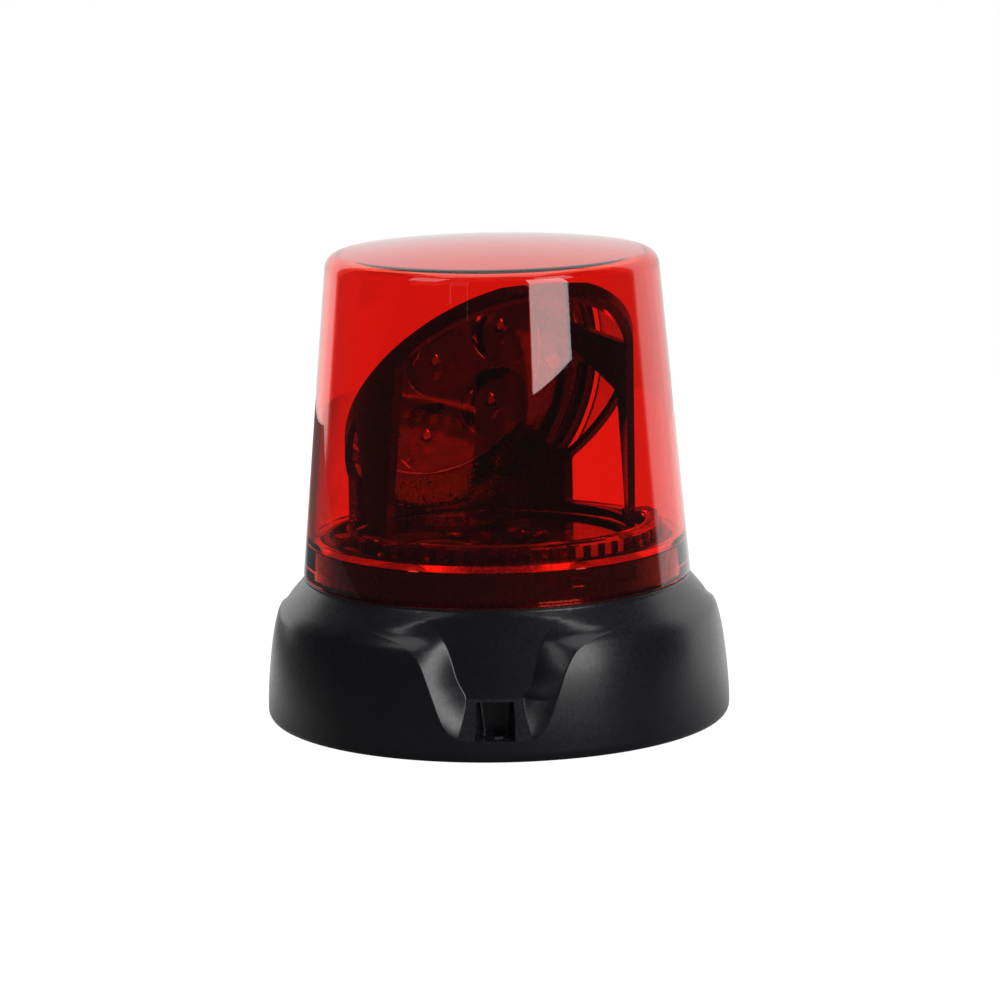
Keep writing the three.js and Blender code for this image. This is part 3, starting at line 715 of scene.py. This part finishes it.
def front_lens():
    outline = [(LENS_R - 0.5, 56.8), (LENS_R - 0.5, LENS_TOP_Z - 0.5), (LENS_R - 0.9, LENS_TOP_Z)]
    groove_step = 0.85  # the fine grooves in its top
    r = LENS_R - 1.2
    while r > 49:
        outline += [(r, LENS_TOP_Z), (r - groove_step * 0.5, LENS_TOP_Z - 0.35)]
        r -= groove_step
    outline += [(48.6, LENS_TOP_Z - 0.1), (48.4, LENS_TOP_Z - 0.4), (48.4, LENS_TOP_Z - 1.5)]
    outline += [(LENS_R - 2, LENS_TOP_Z - 1.5), (LENS_R - 2, 56.8)]
    steps = 120
    vertices, faces = [], []
    for i in range(steps + 1):
        angle = math.radians(-LENS_SPAN + 2 * LENS_SPAN * i / steps)
        vertices += [(r * math.sin(angle), -r * math.cos(angle), z) for r, z in outline]
    count = len(outline)
    for i in range(steps):
        for j in range(count):
            k = (j + 1) % count
            faces.append([i * count + j, (i + 1) * count + j, (i + 1) * count + k, i * count + k])
    faces += [list(range(count)), [steps * count + j for j in range(count)]]
    body = new_object("front_lens", vertices, faces)
    turn(body, BEAM_TURN)
    finish_piece(body, "rotor", "clear_plastic", CLEAR, "front_lens", crease=20)
    for i in range(LENS_RIBS):
        middle = -LENS_SPAN + (i + 0.5) * 2 * LENS_SPAN / LENS_RIBS
        start, end = middle - 1.4, middle + 1.4
        rib = sector("lens_rib", LENS_R - 0.45, LENS_R, start, end, 57.4, LENS_TOP_Z - 1.2, 2)
        turn(bevel(rib, 0.12), BEAM_TURN)
        finish_piece(rib, "rotor", "inner_plastic", GLOSS_BLACK)


# ---- LEDs and their cover ----
LED_PITCH = 25.6
COLLIMATOR_R = 12.2
DIE_HALF = 1.4


def led_places():
    angles = [math.pi / 3 * i for i in range(1, 7)]
    return [(0, 0)] + [(LED_PITCH * math.cos(a), LED_PITCH * math.sin(a)) for a in angles]


def collimators():
    """Seven bell-shaped optics, each over its own LED die."""
    low, high = node_box("collimator_1")
    for i, (x, y) in enumerate(led_places()):
        outline = [(0, low.z + 1.6), (1.5, low.z + 1.5), (2.6, low.z + 0.2), (4.6, low.z)]
        for k in range(1, 8):
            t = k / 8
            outline.append((4.6 + (COLLIMATOR_R - 4.8) * t**0.75, low.z + (high.z - low.z - 0.9) * t))
        outline += [(COLLIMATOR_R, high.z - 0.8), (COLLIMATOR_R, high.z - 0.2), (COLLIMATOR_R - 0.2, high.z)]
        outline += [(7.5, high.z), (6.8, high.z - 0.5), (0, high.z - 0.9)]
        body = spun(f"collimator_{i + 1}", outline, 48, (x, y))
        finish_piece(body, "base", "clear_plastic", OPTIC, f"collimator_{i + 1}", crease=40)
        die_low = (x - DIE_HALF, y - DIE_HALF, BOARD_TOP_Z + 0.02)
        die_high = (x + DIE_HALF, y + DIE_HALF, BOARD_TOP_Z + 0.7)
        die = rounded_box(f"led_{i + 1}", die_low, die_high, 0.15)
        finish_piece(die, "base", "white_plastic", LED_YELLOW)


def lens_cover():
    top, foot, r = COVER_HIGH.z, COVER_LOW.z, COVER_HIGH.x
    outline = [(0, top), (r - 1, top), (r - 0.3, top - 0.3), (r, top - 1), (r, foot), (r - 1.6, foot)]
    outline += [(r - 1.6, top - 2), (r - 2, top - 1.6), (0, top - 1.6)]
    body = spun("lens_cover", outline)
    notch = rounded_box("cover_notch", (-9, 40, foot - 1), (9, 60, 53.7), 0.8)
    combine(body, notch, "DIFFERENCE")
    finish_piece(body, "base", "clear_plastic", CLEAR, "lens_cover")


# ---- CAD nodes that keep their shape ----
def dress(material, *names):
    for name in names:
        node = NODES[name]
        node.data.materials.clear()
        node.data.materials.append(material)
        for polygon in node.data.polygons:
            polygon.use_smooth = False


def numbered(stem):
    return [f"{stem}_{i}" for i in (1, 2, 3)]


def dress_nodes():
    dress(SATIN_BLACK, "bottom_plate", "vent_plug", "chassis_plate")
    dress(STEEL, *numbered("plate_screw"), *numbered("chassis_screw"), "motor", "motor_bracket")
    dress(RUBBER, "base_gasket", "cable_grommet", "dome_seal")
    dress(GLOSS_BLACK, "driver_capacitor", "driver_coil", "bearing_ring", "drive_pinion")
    dress(GLOSS_BLACK, *numbered("mount_bush"))
    dress(ACETAL, "supply_connector")
    dress(ALUMINIUM, "heat_sink")
    dress(BOARD_GREEN, "driver_board")
    dress(BOARD_BLACK, "led_board")


base_housing()
dome()
mirror_frame()
mirror()
rotor_ring()
front_lens()
collimators()
lens_cover()
dress_nodes()


# ---- floor, light ----
WORLD_BRIGHTNESS = 1.6
SIDE_LEAN = 0.15  # how much further round the bright side reaches on the right
LAMP_DISTANCE = 1.6  # metres, as is the next
OVERHEAD = 1.7


def studio_floor():
    """White to the camera. To all else it's bright behind the object, and dark in front and on the left."""
    floor = prism("studio_floor", [(-700, -650), (450, -650), (450, 700), (-700, 700)], -12, -0.05)
    shader = Shader("studio_floor", Roughness=0.9)
    shader.main.inputs["Base Color"].default_value = (0.12, 0.12, 0.12, 1)
    shader.main.inputs["Emission Color"].default_value = (1, 1, 1, 1)
    split = shader.add("ShaderNodeSeparateXYZ")
    shader.link(shader.coordinates, split.inputs["Vector"])
    behind = shader.spread(split.outputs["Y"], 0.04, 0.95, -0.06, 0.08)
    beside = shader.spread(split.outputs["X"], 0.03, 1, -0.2, -0.1)
    glow = shader.add("ShaderNodeMath", operation="MULTIPLY")
    shader.link(behind, glow.inputs[0])
    shader.link(beside, glow.inputs[1])
    seen = shader.add("ShaderNodeMath", operation="MAXIMUM")
    shader.link(glow.outputs["Value"], seen.inputs[0])
    shader.link(shader.add("ShaderNodeLightPath").outputs["Is Camera Ray"], seen.inputs[1])
    shader.link(seen.outputs["Value"], shader.main.inputs["Emission Strength"])
    floor.data.materials.append(shader.material)


def studio_world():
    """White to the camera. Otherwise bright from behind and from the far sides, and dim in front."""
    world = bpy.data.worlds.new("studio")
    world.use_nodes = True
    tree = world.node_tree
    link = tree.links.new
    coordinates = tree.nodes.new("ShaderNodeTexCoord")
    split = tree.nodes.new("ShaderNodeSeparateXYZ")
    side = tree.nodes.new("ShaderNodeMath")
    side.operation = "MULTIPLY_ADD"
    side.inputs[1].default_value = SIDE_LEAN
    ramp = tree.nodes.new("ShaderNodeValToRGB")
    stops = ((0, 0.04), (0.52, 0.05), (0.57, 0.85), (0.8, 0.75), (0.95, 0.58))
    while len(ramp.color_ramp.elements) < len(stops):
        ramp.color_ramp.elements.new(0.5)
    for element, (position, level) in zip(ramp.color_ramp.elements, stops):
        element.position = position
        element.color = (level, level, level, 1)
    scale = tree.nodes.new("ShaderNodeMath")
    scale.operation = "MULTIPLY"
    scale.inputs[1].default_value = WORLD_BRIGHTNESS
    seen = tree.nodes.new("ShaderNodeMath")
    seen.operation = "MAXIMUM"
    path = tree.nodes.new("ShaderNodeLightPath")
    link(coordinates.outputs["Generated"], split.inputs["Vector"])
    link(split.outputs["X"], side.inputs[0])
    link(split.outputs["Y"], side.inputs[2])
    link(side.outputs["Value"], ramp.inputs["Fac"])
    link(ramp.outputs["Color"], scale.inputs[0])
    link(scale.outputs["Value"], seen.inputs[0])
    link(path.outputs["Is Camera Ray"], seen.inputs[1])
    background = tree.nodes["Background"]
    background.inputs["Color"].default_value = (1, 1, 1, 1)
    link(seen.outputs["Value"], background.inputs["Strength"])
    bpy.context.scene.world = world


def soft_box(name, width, height, brightness, place):
    """A flat lamp that the camera doesn't see, shining along its own -Z. Sizes are in metres."""
    data = bpy.data.lights.new(name, "AREA")
    data.shape = "RECTANGLE"
    data.size = width
    data.size_y = height
    data.energy = brightness * math.pi * width * height
    light = bpy.data.objects.new(name, data)
    light.matrix_world = place
    light.visible_camera = False
    bpy.context.scene.collection.objects.link(light)


def turned_by(degrees, axis):
    return Matrix.Rotation(math.radians(degrees), 4, axis)


def upright_box(name, azimuth, low, high, width, brightness):
    """A soft box between two heights that faces the object's axis.
    Azimuth 0 is on the camera's side, and positive is towards +X."""
    out = Matrix.Translation((0, -LAMP_DISTANCE, (low + high) / 2))
    place = turned_by(azimuth, "Z") @ out @ turned_by(90, "X")
    soft_box(name, width, high - low, brightness, place)


def studio_lights():
    upright_box("strip_right", 39.2, 0.147, 1.3, 0.77, 6)
    for side in (-1, 1):
        aim = turned_by(50 * side, "Z") @ turned_by(48, "X")
        soft_box("soft_high", 0.6, 0.6, 2.6, aim @ Matrix.Translation((0, 0, OVERHEAD)))
    upright_box("soft_left", -21, 0.25, 1.1, 0.33, 0.2)
    upright_box("line_left", -26.6, 0.2, 1.1, 0.02, 0.6)
    upright_box("line_right", -15.4, 0.2, 1.1, 0.012, 0.6)
    soft_box("soft_top", 1.5, 1.5, 1.5, Matrix.Translation((0, 0.05, OVERHEAD)))


studio_floor()
studio_world()
studio_lights()
bpy.context.scene.view_settings.view_transform = "Standard"
